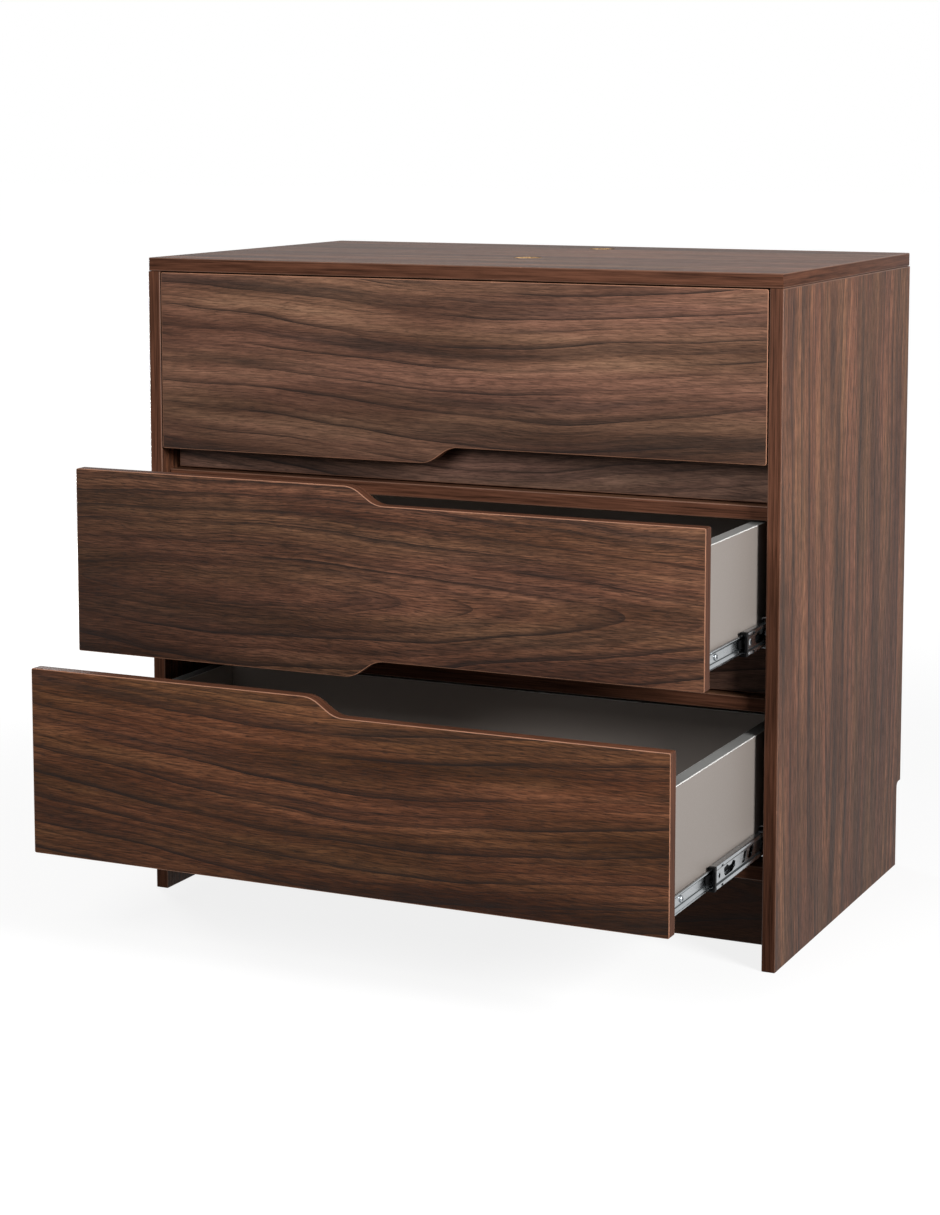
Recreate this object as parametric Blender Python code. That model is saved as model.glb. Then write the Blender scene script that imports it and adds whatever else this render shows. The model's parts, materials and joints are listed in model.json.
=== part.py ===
"""Chest of three drawers in walnut board, with grey drawer boxes on telescopic ball slides.

Metres, +Z up. +X is the chest's right as seen from the front, and +Y runs from front to back.
The origin is on the floor, at the middle of the box round the chest with its drawers as set by PULLS.
"""

import math

import bmesh
import bpy
from mathutils import Vector

# Carcass
WIDTH = 0.800
DEPTH = 0.496
HEIGHT = 0.777
BOARD = 0.016
EDGE_ROUND = 0.001
SHARPEST_KEPT_ANGLE = math.radians(60.0)
FIT = 0.0003
TOP_END_SETBACK = 0.0008
PLINTH_HEIGHT = 0.098
PLINTH_SETBACK = 0.092
REAR_PLINTH_SETBACK = 0.004
SKIRTING_DEPTH = 0.016
SKIRTING_HEIGHT = 0.107
SKIRTING_RADIUS = 0.006
BACK_THICKNESS = 0.003
BACK_INSET = 0.010
BACK_GROOVE = 0.006
HOLE_DIAMETER = 0.034
HOLE_X = 0.015
HOLE_FROM_FRONT = 0.190
HOLE_FROM_BACK = 0.069
HOLE_OVERRUN = 0.016
HOLE_SIDES = 32

# Drawer fronts and their finger grips
FRONT_GAP = 0.0025
FRONT_TOP_GAP = 0.0015
FRONT_FOOT_GAP = 0.0045
FRONT_SIDE_GAP = 0.0015
FRONT_CORNER = 0.002
GRIP_STEP = 0.020
GRIP_RADIUS = 0.034
GRIP_ANGLE = math.radians(35.0)
GRIP_CENTRE_X = -0.013
ARC_STEPS = 6
CORNER_STEPS = 3

# Rails and recess panels behind the finger grips
RAIL_DEPTH = 0.080
RAIL_SETBACK = 0.002
RAIL_DROP = 0.005
RECESS_HEIGHT = 0.052
RECESS_SETBACK = 0.015
RECESS_END_GAP = 0.005
RECESS_FOOT_GAP = 0.0015
CORNER_BLOCK = 0.020
CORNER_BLOCK_FROM_END = 0.060

# Drawer boxes
BOX_BOARD = 0.016
BOX_DEPTH = 0.400
BOX_TOP_CLEARANCE = 0.0035
LOW_BOX_ABOVE_BOTTOM = 0.019
BOX_BOTTOM_THICKNESS = 0.003
BOX_BOTTOM_LIFT = 0.012
BOX_GROOVE = 0.006
BOX_EDGE_ROUND = 0.0006
PULLS = (0.0, 0.190, 0.287)

# Telescopic slides
SLIDE_SPACE = 0.0127
SLIDE_LENGTH = 0.400
SLIDE_SETBACK = 0.003
SLIDE_ABOVE_RECESS = 0.0025
CABINET_MEMBER_HEIGHT = 0.035
MIDDLE_MEMBER_HEIGHT = 0.0265
DRAWER_MEMBER_HEIGHT = 0.021
STEEL = 0.0012
RACE_PLAY = 0.00045
WEB_PLAY = 0.0006
LIP_SETBACK = 0.0012
BEAD_DEPTH = 0.0014
BEAD_HEIGHT = 0.0052
BUMPER_LENGTH = 0.006
MIDDLE_SHARES = (0.5, 0.40, 0.59)
SLOT_HEIGHT = 0.008
SLOT_LENGTHS = (0.016, 0.010, 0.010)
SLOTS_FROM_FRONT = (0.026, 0.062, 0.082)

# Places worked out from the sizes above
HALF_WIDTH = WIDTH / 2
INNER_HALF = HALF_WIDTH - BOARD
FRONT_PLANE = (max(PULLS) - DEPTH) / 2
SIDE_TOP = HEIGHT - BOARD
RAIL_PLANE = BOARD + RAIL_SETBACK
RECESS_PLANE = RAIL_PLANE + RECESS_SETBACK
BACK_PANEL_FRONT = DEPTH - BACK_INSET - BACK_THICKNESS
BOTTOM_TOP = PLINTH_HEIGHT + BOARD
FRONT_SPACE = SIDE_TOP - FRONT_TOP_GAP - BOTTOM_TOP - FRONT_FOOT_GAP
FRONT_PITCH = (FRONT_SPACE + FRONT_GAP) / len(PULLS)
FRONT_HEIGHT = FRONT_PITCH - FRONT_GAP
FRONT_TOPS = [SIDE_TOP - FRONT_TOP_GAP - i * FRONT_PITCH for i in range(len(PULLS))]
RAIL_TOPS = [top - GRIP_STEP - RAIL_DROP for top in FRONT_TOPS[1:]]
MEMBER_REACH = (CABINET_MEMBER_HEIGHT - DRAWER_MEMBER_HEIGHT) / 2
BOX_ABOVE_RAIL = RECESS_FOOT_GAP + RECESS_HEIGHT + SLIDE_ABOVE_RECESS + MEMBER_REACH
BOX_HEIGHT = FRONT_PITCH - BOARD - BOX_ABOVE_RAIL - BOX_TOP_CLEARANCE
BOX_FLOORS = [top + BOX_ABOVE_RAIL for top in RAIL_TOPS] + [BOTTOM_TOP + LOW_BOX_ABOVE_BOTTOM]
BOX_HALF = INNER_HALF - SLIDE_SPACE
BOX_FRONT_PLANE = BOARD + FIT
SLIDE_PLANE = BOX_FRONT_PLANE + SLIDE_SETBACK


def clear_scene():
    for item in list(bpy.data.objects):
        bpy.data.objects.remove(item, do_unlink=True)


def make_material(name, colour, roughness, metallic=0.0):
    material = bpy.data.materials.new(name)
    material.use_nodes = True
    shader = material.node_tree.nodes["Principled BSDF"]
    shader.inputs["Base Color"].default_value = (*colour, 1.0)
    shader.inputs["Roughness"].default_value = roughness
    shader.inputs["Metallic"].default_value = metallic
    return material


def make_empty(name, location, parent=None):
    empty = bpy.data.objects.new(name, None)
    bpy.context.collection.objects.link(empty)
    empty.location = location
    empty.parent = parent
    return empty


def add_object(name, shape, material, location, parent):
    """Turns a bmesh into a placed object, with its faces pointing out."""
    bmesh.ops.recalc_face_normals(shape, faces=shape.faces)
    mesh = bpy.data.meshes.new(name)
    shape.to_mesh(mesh)
    shape.free()
    if material:
        mesh.materials.append(material)
    item = bpy.data.objects.new(name, mesh)
    bpy.context.collection.objects.link(item)
    item.location = location
    item.parent = parent
    return item


def round_edges(item, width):
    bevel = item.modifiers.new("rounded_edges", "BEVEL")
    bevel.width = width
    bevel.segments = 1
    bevel.limit_method = "ANGLE"
    bevel.angle_limit = SHARPEST_KEPT_ANGLE


def add_board(name, low, high, material, parent, rounding=EDGE_ROUND):
    """A rectangular board between two corners, with its origin at its middle."""
    low = Vector(low)
    high = Vector(high)
    shape = bmesh.new()
    bmesh.ops.create_cube(shape, size=1.0)
    bmesh.ops.scale(shape, vec=high - low, verts=shape.verts)
    item = add_object(name, shape, material, (low + high) / 2, parent)
    if rounding:
        round_edges(item, rounding)
    return item


def sweep_outline(shape, outline, place, along):
    """Adds a prism to a bmesh: place turns an outline point into a position, and along is its length."""
    face = shape.faces.new([shape.verts.new(place(*point)) for point in outline])
    swept = bmesh.ops.extrude_face_region(shape, geom=[face])
    moved = [element for element in swept["geom"] if isinstance(element, bmesh.types.BMVert)]
    bmesh.ops.translate(shape, vec=along, verts=moved)


def add_prism(name, outline, place, along, material, location, parent):
    shape = bmesh.new()
    sweep_outline(shape, outline, place, along)
    return add_object(name, shape, material, location, parent)


def cut_from(item, cutter):
    cut = item.modifiers.new("cut_" + cutter.name, "BOOLEAN")
    cut.operation = "DIFFERENCE"
    cut.solver = "EXACT"
    cut.object = cutter


def hide_cutter(cutter):
    cutter.hide_render = True
    cutter.display_type = "WIRE"
    return cutter


def arc(centre, radius, start, end, steps):
    """Points along an arc, both ends included; angles in radians from the first axis."""
    turn = (end - start) / steps
    angles = [start + turn * step for step in range(steps + 1)]
    return [(centre[0] + radius * math.cos(a), centre[1] + radius * math.sin(a)) for a in angles]


def grip_curve(low, rises):
    """The S from the left level to the right one, left to right: two arcs joined by a straight ramp."""
    rise_of_arc = GRIP_RADIUS * (1 - math.cos(GRIP_ANGLE))
    run_of_arc = GRIP_RADIUS * math.sin(GRIP_ANGLE)
    ramp_run = (GRIP_STEP - 2 * rise_of_arc) / math.tan(GRIP_ANGLE)
    half_run = run_of_arc + ramp_run / 2
    quarter = math.pi / 2
    foot = arc((-half_run, GRIP_RADIUS), GRIP_RADIUS, -quarter, GRIP_ANGLE - quarter, ARC_STEPS)
    head = arc((half_run, GRIP_STEP - GRIP_RADIUS), GRIP_RADIUS, quarter + GRIP_ANGLE, quarter, ARC_STEPS)
    curve = foot + head
    if not rises:
        curve = [(-x, z) for x, z in reversed(curve)]
    return [(GRIP_CENTRE_X + x, low + z) for x, z in curve]


def front_outline(top, grip_above, grip_below):
    """A drawer front seen from the front, anticlockwise from its lower left corner."""
    half = INNER_HALF - FRONT_SIDE_GAP
    bottom = top - FRONT_HEIGHT
    right_bottom = bottom + (GRIP_STEP if grip_below else 0.0)
    right_top = top - (GRIP_STEP if grip_above else 0.0)
    inset = half - FRONT_CORNER
    quarter = math.pi / 2

    def corner(x, z, start):
        return arc((x, z), FRONT_CORNER, start, start + quarter, CORNER_STEPS)

    points = corner(-inset, bottom + FRONT_CORNER, 2 * quarter)
    if grip_below:
        points += grip_curve(bottom, True)
    points += corner(inset, right_bottom + FRONT_CORNER, 3 * quarter)
    points += corner(inset, right_top - FRONT_CORNER, 0.0)
    if grip_above:
        points += list(reversed(grip_curve(right_top, False)))
    points += corner(-inset, top - FRONT_CORNER, quarter)
    return points


def side_outline():
    """A side panel seen from its side, as (back, up) from its lower front corner."""
    notch_back = DEPTH - SKIRTING_DEPTH
    quarter = math.pi / 2
    inner = arc(
        (notch_back + SKIRTING_RADIUS, SKIRTING_HEIGHT - SKIRTING_RADIUS),
        SKIRTING_RADIUS,
        2 * quarter,
        quarter,
        CORNER_STEPS,
    )
    top = SIDE_TOP - FIT
    return [(0.0, 0.0), (notch_back, 0.0)] + inner + [(DEPTH, SKIRTING_HEIGHT), (DEPTH, top), (0.0, top)]


def build_carcass(walnut, hardboard, plastic, root):
    inner = INNER_HALF - FIT
    back_low = (-INNER_HALF - BACK_GROOVE + FIT, BACK_PANEL_FRONT, SKIRTING_HEIGHT)
    back_face = BACK_PANEL_FRONT + BACK_THICKNESS
    back_high = (INNER_HALF + BACK_GROOVE - FIT, back_face, SIDE_TOP + BACK_GROOVE - FIT)
    play = Vector((FIT, FIT, FIT))
    groove_low = Vector((back_low[0], back_low[1], back_low[2] - SKIRTING_RADIUS)) - play
    groove = hide_cutter(add_board("back_groove", groove_low, Vector(back_high) + play, None, root, 0.0))
    add_board("back_panel", back_low, back_high, hardboard, root, 0.0)

    for name, outer in (("side_panel_left", -HALF_WIDTH), ("side_panel_right", INNER_HALF)):
        along = Vector((BOARD, 0.0, 0.0))
        side = add_prism(
            name, side_outline(), lambda back, up: (0.0, back, up), along, walnut, (outer, 0.0, 0.0), root
        )
        round_edges(side, EDGE_ROUND)
        cut_from(side, groove)

    top_half = HALF_WIDTH - TOP_END_SETBACK
    top = add_board("top_panel", (-top_half, 0.0, SIDE_TOP), (top_half, DEPTH, HEIGHT), walnut, root)
    cut_from(top, groove)
    for name, from_front in (("front", HOLE_FROM_FRONT), ("back", DEPTH - HOLE_FROM_BACK)):
        circle = arc((0.0, 0.0), HOLE_DIAMETER / 2, 0.0, 2 * math.pi, HOLE_SIDES)[:-1]
        hole = add_prism(
            f"top_hole_{name}",
            circle,
            lambda x, y: (x, y, 0.0),
            Vector((0.0, 0.0, BOARD + 2 * HOLE_OVERRUN)),
            None,
            (HOLE_X, from_front, SIDE_TOP - HOLE_OVERRUN),
            root,
        )
        cut_from(top, hide_cutter(hole))

    bottom_back = BACK_PANEL_FRONT - FIT
    add_board(
        "bottom_panel", (-inner, RAIL_PLANE, PLINTH_HEIGHT), (inner, bottom_back, BOTTOM_TOP), walnut, root
    )
    rear = DEPTH - SKIRTING_DEPTH - REAR_PLINTH_SETBACK
    for name, front in (("plinth_front", PLINTH_SETBACK), ("plinth_rear", rear - BOARD)):
        add_board(name, (-inner, front, 0.0), (inner, front + BOARD, PLINTH_HEIGHT - FIT), walnut, root)

    for level, rail_top in zip(("upper", "lower"), RAIL_TOPS):
        add_board(
            f"rail_{level}",
            (-inner, RAIL_PLANE, rail_top - BOARD),
            (inner, RAIL_PLANE + RAIL_DEPTH, rail_top),
            walnut,
            root,
        )
        panel_half = INNER_HALF - RECESS_END_GAP
        foot = rail_top + RECESS_FOOT_GAP
        panel_back = RECESS_PLANE + BOARD
        add_board(
            f"recess_panel_{level}",
            (-panel_half, RECESS_PLANE, foot),
            (panel_half, panel_back, foot + RECESS_HEIGHT),
            walnut,
            root,
        )
        block_front = panel_back + FIT
        block_foot = rail_top + FIT
        for side, block_x in (("left", -1), ("right", 1)):
            middle = block_x * (panel_half - CORNER_BLOCK_FROM_END)
            add_board(
                f"corner_block_{level}_{side}",
                (middle - CORNER_BLOCK / 2, block_front, block_foot),
                (middle + CORNER_BLOCK / 2, block_front + CORNER_BLOCK, block_foot + CORNER_BLOCK),
                plastic,
                root,
            )


def build_box(number, floor, grey, drawer):
    """The grey box behind a front: two sides, an inner front, a back and a grooved-in floor."""
    ceiling = floor + BOX_HEIGHT
    near = BOX_FRONT_PLANE
    far = near + BOX_DEPTH
    inner = BOX_HALF - BOX_BOARD
    reach = BOX_GROOVE - FIT
    sheet_foot = floor + BOX_BOTTOM_LIFT
    low = Vector((-inner - reach, near + BOX_BOARD - reach, sheet_foot))
    high = Vector((inner + reach, far - BOX_BOARD + reach, sheet_foot + BOX_BOTTOM_THICKNESS))
    play = Vector((FIT, FIT, FIT))
    add_board(f"drawer_{number}_bottom", low, high, grey, drawer, 0.0)
    groove = hide_cutter(add_board(f"drawer_{number}_groove", low - play, high + play, None, drawer, 0.0))
    boards = {
        "side_left": ((-BOX_HALF, near, floor), (-inner, far, ceiling)),
        "side_right": ((inner, near, floor), (BOX_HALF, far, ceiling)),
        "box_front": ((-inner + FIT, near, floor), (inner - FIT, near + BOX_BOARD, ceiling)),
        "back": ((-inner + FIT, far - BOX_BOARD, floor), (inner - FIT, far, ceiling)),
    }
    for name, corners in boards.items():
        board = add_board(f"drawer_{number}_{name}", *corners, grey, drawer, BOX_EDGE_ROUND)
        cut_from(board, groove)


def build_front(number, walnut, drawer):
    grip_above = number > 1
    grip_below = number < len(PULLS)
    outline = front_outline(FRONT_TOPS[number - 1], grip_above, grip_below)
    along = Vector((0.0, BOARD, 0.0))
    front = add_prism(
        f"drawer_{number}_front", outline, lambda x, z: (x, 0.0, z), along, walnut, (0.0, 0.0, 0.0), drawer
    )
    round_edges(front, EDGE_ROUND)


def cabinet_profile():
    """Channel on the side panel, open towards the drawer; across counts from the drawer side's face."""
    top = CABINET_MEMBER_HEIGHT / 2
    race = MIDDLE_MEMBER_HEIGHT / 2 + RACE_PLAY
    wall = SLIDE_SPACE - FIT
    outside = [(LIP_SETBACK, top), (wall, top), (wall, -top), (LIP_SETBACK, -top)]
    inside = [(wall - STEEL, -race), (wall - STEEL, race)]
    return outside + [(LIP_SETBACK, -race)] + inside + [(LIP_SETBACK, race)]


def middle_profile():
    """Channel inside the cabinet member, with a bead along each edge of its outer face."""
    top = MIDDLE_MEMBER_HEIGHT / 2
    race = DRAWER_MEMBER_HEIGHT / 2 + RACE_PLAY
    bead = top - BEAD_HEIGHT
    outer = SLIDE_SPACE - FIT - STEEL - WEB_PLAY
    web = outer - BEAD_DEPTH
    lip = FIT + STEEL + WEB_PLAY
    outside = [(lip, top), (outer, top), (outer, bead), (web, bead), (web, -bead), (outer, -bead)]
    inside = [(web - STEEL, -race), (web - STEEL, race)]
    return outside + [(outer, -top), (lip, -top), (lip, -race)] + inside + [(lip, race)]


def drawer_profile():
    """Channel on the drawer's side, open outwards, inside the middle member."""
    top = DRAWER_MEMBER_HEIGHT / 2
    flange = top - STEEL
    outer = SLIDE_SPACE - FIT - 2 * STEEL - 2 * WEB_PLAY - BEAD_DEPTH - STEEL
    web = FIT + STEEL
    inside = [(outer, flange), (web, flange), (web, -flange), (outer, -flange)]
    return [(FIT, top), (outer, top)] + inside + [(outer, -top), (FIT, -top)]


def slot_outline(length):
    """A slot with round ends, as (along, up) from its middle."""
    radius = SLOT_HEIGHT / 2
    straight = length / 2 - radius
    quarter = math.pi / 2
    return arc((straight, 0.0), radius, -quarter, quarter, ARC_STEPS) + arc(
        (-straight, 0.0), radius, quarter, 3 * quarter, ARC_STEPS
    )


def build_slide(number, side, sign, steel, plastic, root, drawer):
    """One telescopic slide: sign is 1 on the right and -1 on the left."""
    pull = PULLS[number - 1]
    axis_height = BOX_FLOORS[number - 1] + DRAWER_MEMBER_HEIGHT / 2
    place_x = sign * BOX_HALF
    stem = f"slide_{number}_{side}"
    runner = make_empty(f"{stem}_runner", (0.0, -pull * MIDDLE_SHARES[number - 1], 0.0), root)

    def across(x, z):
        return (sign * x, 0.0, z)

    def member(kind, profile, near, length, material, parent):
        along = Vector((0.0, length, 0.0))
        place = (place_x, near, axis_height)
        return add_prism(f"{stem}_{kind}", profile, across, along, material, place, parent)

    member("cabinet_member", cabinet_profile(), SLIDE_PLANE, SLIDE_LENGTH, steel, root)
    member("drawer_member", drawer_profile(), SLIDE_PLANE, SLIDE_LENGTH, steel, drawer)
    member("bumper", middle_profile(), SLIDE_PLANE, BUMPER_LENGTH, plastic, runner)
    channel_front = SLIDE_PLANE + BUMPER_LENGTH + FIT
    channel_length = SLIDE_LENGTH - BUMPER_LENGTH - FIT
    channel = member("middle_member", middle_profile(), channel_front, channel_length, steel, runner)

    slots = bmesh.new()
    for from_front, length in zip(SLOTS_FROM_FRONT, SLOT_LENGTHS):
        sweep_outline(
            slots,
            slot_outline(length),
            lambda back, up, start=from_front: (0.0, start + back, up),
            Vector((sign * SLIDE_SPACE, 0.0, 0.0)),
        )
    cutter = add_object(f"{stem}_slots", slots, None, (place_x, channel_front, axis_height), runner)
    cut_from(channel, hide_cutter(cutter))


def build_chest():
    walnut = make_material("walnut_board", (0.105, 0.052, 0.030), 0.45)
    grey = make_material("grey_board", (0.36, 0.33, 0.30), 0.55)
    hardboard = make_material("walnut_hardboard", (0.085, 0.045, 0.028), 0.65)
    steel = make_material("zinc_steel", (0.62, 0.63, 0.64), 0.32, 1.0)
    plastic = make_material("black_plastic", (0.012, 0.012, 0.013), 0.5)

    root = make_empty("carcass_front_corner", (0.0, FRONT_PLANE, 0.0))
    build_carcass(walnut, hardboard, plastic, root)
    for number, (pull, floor) in enumerate(zip(PULLS, BOX_FLOORS), start=1):
        drawer = make_empty(f"drawer_{number}_travel", (0.0, -pull, 0.0), root)
        build_front(number, walnut, drawer)
        build_box(number, floor, grey, drawer)
        for side, sign in (("left", -1), ("right", 1)):
            build_slide(number, side, sign, steel, plastic, root, drawer)


clear_scene()
build_chest()
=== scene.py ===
"""Looks of a three-drawer walnut chest, built around its packed frame.

Metres, +Z up, in the frame's own axes: +X is the chest's right as seen from the front, and +Y runs
from front to back. Run it as a script; the sidebar panel then offers each piece again.
"""

import json
import math
from collections import namedtuple

import bmesh
import bpy
from bpy.props import FloatProperty, FloatVectorProperty, PointerProperty
from bpy.types import Operator, Panel, PropertyGroup
from mathutils import Matrix, Vector

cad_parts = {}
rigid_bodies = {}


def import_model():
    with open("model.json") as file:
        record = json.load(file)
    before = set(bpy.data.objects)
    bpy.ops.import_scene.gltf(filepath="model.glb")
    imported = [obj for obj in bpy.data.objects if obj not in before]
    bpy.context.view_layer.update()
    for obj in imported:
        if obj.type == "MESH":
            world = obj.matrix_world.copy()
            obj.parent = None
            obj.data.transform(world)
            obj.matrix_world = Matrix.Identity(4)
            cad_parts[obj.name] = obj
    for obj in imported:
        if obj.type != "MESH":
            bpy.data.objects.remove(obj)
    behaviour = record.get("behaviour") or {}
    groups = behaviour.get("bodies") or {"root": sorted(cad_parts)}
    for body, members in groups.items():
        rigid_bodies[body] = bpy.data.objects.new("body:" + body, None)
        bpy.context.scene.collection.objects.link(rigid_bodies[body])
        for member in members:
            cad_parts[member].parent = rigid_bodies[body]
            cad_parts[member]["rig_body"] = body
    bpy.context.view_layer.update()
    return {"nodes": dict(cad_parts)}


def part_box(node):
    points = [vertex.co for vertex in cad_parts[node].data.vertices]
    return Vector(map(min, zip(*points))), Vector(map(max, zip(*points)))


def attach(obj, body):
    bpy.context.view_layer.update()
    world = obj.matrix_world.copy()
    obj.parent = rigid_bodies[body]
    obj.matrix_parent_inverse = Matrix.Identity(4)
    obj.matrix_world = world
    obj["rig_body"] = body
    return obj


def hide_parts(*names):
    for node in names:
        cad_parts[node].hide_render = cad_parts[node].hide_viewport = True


bl_info = {
    "name": "Walnut chest of drawers",
    "version": (1, 0, 0),
    "blender": (4, 5, 0),
    "location": "3D View > Sidebar > Chest",
    "description": "Boards, slides, fasteners and studio of a three-drawer walnut chest",
    "category": "Object",
}

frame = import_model()

# Names that repeat all over the chest
X, Y, Z = range(3)
FACE, BAND, ARRIS, RAW = range(4)
SHEET, PAINTED_BEND_SHADE = range(2)
DRAWERS = (1, 2, 3)
SIDES = (("left", -1), ("right", 1))
BLOCKS = [f"corner_block_{level}_{side}" for level in ("upper", "lower") for side, _ in SIDES]
GRAIN = "grain"
WHITE = (1.0, 1.0, 1.0)
MILLIMETRE = 0.001
QUARTER_TURN = math.pi / 2
FULL_TURN = 2 * math.pi

# How meshes are rounded and shaded
ARC_STEPS = 16
CORNER_STEPS = 6
BEND_STEPS = 5
ARRIS_STEPS = 3
HOLE_SIDES = 64
SCREW_SIDES = 24
ROUND_PROFILE = 0.5
SHARP_TURN = math.radians(60.0)
SMOOTH_TURN = math.radians(40.0)
LAMINATE_LEAN = 0.98
BAND_LEAN = 0.05
WELD = 1e-6

# The figure of each walnut board: where its heart lies from the board's middle, along and across the
# grain, how fast the arches close along the grain, the board's tone, a number that makes its noise
# its own, the drift of its tone per metre along and across, its strength of colour and its contrast;
# on the fronts, the sides and the front plinth the tone and its drift also hold painted light and shade
Figure = namedtuple(
    "Figure", "heart taper tone seed drift strength contrast", defaults=((0.0, 0.0), 1.0, 1.0)
)
FIGURES = {
    # The drawer fronts' tones fall from the upper front to the lower, and their drift across makes each front
    # lighter at its top: painted light falling from above. Front 2's drift along is its own print.
    "drawer_1_front": Figure((0.060, 0.300), 0.070, 1.24, 3.0, (0.0, 3.8), 0.90),
    "drawer_2_front": Figure((-0.170, -0.012), 0.100, 0.90, 17.0, (1.2, 2.4), 0.97, 1.50),
    "drawer_3_front": Figure((0.020, 0.300), 0.085, 0.77, 29.0, (0.0, 2.6), 1.06, 1.45),
    "top_panel": Figure((-0.100, 0.420), 0.050, 1.30, 41.0),
    # The side panels' drift along makes them lighter towards the top: painted light falling from above.
    "side_panel_left": Figure((0.300, 0.050), 0.035, 1.20, 53.0, (0.3, 0.0), 1.03, 1.45),
    "side_panel_right": Figure((0.420, -0.060), 0.035, 1.27, 67.0, (0.4, 0.0), 1.03, 1.50),
    "bottom_panel": Figure((0.100, 0.300), 0.050, 0.90, 71.0),
    # The front plinth's low tone is painted shade under the drawers.
    "plinth_front": Figure((-0.200, 0.010), 0.100, 0.55, 83.0),
    "plinth_rear": Figure((0.200, 0.010), 0.100, 0.80, 97.0),
    "rail_upper": Figure((0.000, 0.200), 0.050, 0.90, 101.0),
    "rail_lower": Figure((0.100, 0.200), 0.050, 0.90, 113.0),
    "recess_panel_upper": Figure((0.050, 0.080), 0.100, 1.10, 127.0, (0.0, 0.0), 0.80),
    "recess_panel_lower": Figure((-0.050, 0.080), 0.100, 1.10, 131.0, (0.0, 0.0), 0.80),
}
NO_FIGURE = Figure((0.000, 0.000), 0.0, 1.0, 0.0)
INNER_BOARDS = (
    "bottom_panel", "plinth_front", "plinth_rear", "rail_upper", "rail_lower",
    "recess_panel_upper", "recess_panel_lower",
)

# Numbers that keep the walnut decor's noises apart; each kind of line takes two
SWAY_NOISE = 0.0
RIPPLE_NOISE = 1.0
STREAK_NOISE = 2.0
ZONE_NOISE = 3.0
RING_NOISE = 4.0
FIBRE_NOISE = 6.0
PORE_NOISE = 7.0
VEIN_NOISE = 8.0
HUE_NOISE = 10.0
# Levels of a noise, from 0 to 1, between which one tone turns into the next
STREAK_LEVELS = (0.33, 0.50, 0.67)
ZONE_LEVELS = (0.34, 0.62)
HUE_LEVELS = (0.38, 0.60)
LINE_LEVELS = (0.34, 0.52)
FIBRE_LEVELS = (0.34, 0.66)
PORE_LEVELS = (0.56, 0.70)
MOST_LEVELS = (0.30, 0.70)
# Strength and sharpness of the walnut decor's lines, fibres and pores
RING_STRENGTH = 0.45
RING_SHARPNESS = 5.0
VEIN_STRENGTH = 0.97
VEIN_SHARPNESS = 9.0
FIBRE_STRENGTH = 0.40
FIBRE_ROUGHNESS = (0.56, 0.44)
PORE_STRENGTH = 0.45
# How far the rings lean across the board, and how far and how slowly lines drift, in their own spacings
RING_LEAN = 0.25
LINE_DRIFT = 0.6
DRIFT_SPACINGS = 3.0

# Sockets of the colour mix node: its amount and two colours, and its result
MIX_INPUTS = (0, 6, 7)
MIX_OUTPUT = 2

# Bent-steel lines of the slide members in millimetres: across from the drawer's side, and up from the axis
CABINET_LINE = ((1.6, 14.6), (2.6, 16.9), (10.5, 16.9), (11.8, 15.5))
DRAWER_LINE = ((5.6, 8.8), (4.9, 9.8), (3.4, 9.6), (1.6, 6.2), (0.9, 5.2))
MIDDLE_LINE = ((2.7, 11.6), (3.2, 12.65), (9.2, 12.65), (10.0, 11.9), (10.0, 9.2), (7.5, 7.6))
MEMBER_LINES = {
    "cabinet_member": CABINET_LINE, "drawer_member": DRAWER_LINE, "middle_member": MIDDLE_LINE,
}
# Openings in the middle member in millimetres: back from the slide's front end, and up from the axis
SLOT_THROUGH = (6.5, 11.5)
MIDDLE_SLOTS = (
    ((21.0, 9.4), (27.0, 9.4), (27.0, 11.6), (21.0, 11.6)),
    ((21.0, -11.6), (27.0, -11.6), (27.0, -9.4), (21.0, -9.4)),
    (
        (36.0, -2.0), (41.0, -5.8), (62.0, -5.8), (72.0, -2.0), (72.0, 3.0),
        (65.0, 5.8), (59.0, 2.6), (52.0, 2.6), (46.0, 5.8), (36.0, 4.0),
    ),
    ((94.0, -6.0), (103.0, -6.0), (110.0, 6.0), (101.0, 6.0)),
    ((113.0, -6.0), (126.0, -6.0), (133.0, 6.0), (120.0, 6.0)),
)
RIVET_BACK = 20.0
# Outline of the release lever in millimetres, as the openings above
LEVER_OUTLINE = (
    (110.0, -4.0), (113.0, -4.6), (268.0, -4.6), (274.0, -3.0), (274.0, 3.0), (268.0, 4.6),
    (113.0, 4.6), (110.0, 4.0),
)
LEVER_ACROSS = (1.9, 3.6)
# Places of the screws: metres back from a member's front end, and shares of half a box front's width
DRAWER_SCREWS_BACK = (0.040, 0.290, 0.370)
CABINET_SCREWS_BACK = (0.037, 0.197, 0.357)
FRONT_SCREW_SHARES = (-0.75, -0.25, 0.25, 0.75)
# Heads of screws and rivets from seat to crown, in shares of their height and radius
SCREW_PROFILE = ((0.0, 0.0), (0.0, 1.0), (0.35, 1.0), (0.70, 0.86), (0.94, 0.55), (1.0, 0.0))
RIVET_PROFILE = ((0.0, 1.0), (0.6, 0.85), (1.0, 0.6))
# The cross recess in a screw's head, in the same shares
RECESS_ARM = 0.68
RECESS_WIDTH = 0.20
RECESS_FLOOR = 0.22

# Each light's name, what it is in words, and the place, side and power that its settings start from
LIGHTS = (
    ("key", "large light at the right", (2.4, -1.10, 1.45), 0.8, 90.0),
    ("front", "high light in front", (-0.22, -2.40, 1.55), 0.9, 44.0),
    ("fill", "low light in front", (-0.60, -3.00, 0.80), 0.9, 7.0),
    ("top", "light above", (0.2, -0.2, 2.7), 1.8, 10.0),
    ("rear", "light behind and to the left", (-2.4, 1.7, 0.38), 0.7, 90.0),
)


# Settings

def length(name, description, default):
    return FloatProperty(
        name=name, description=description, default=default, subtype="DISTANCE", unit="LENGTH", precision=4
    )


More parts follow.
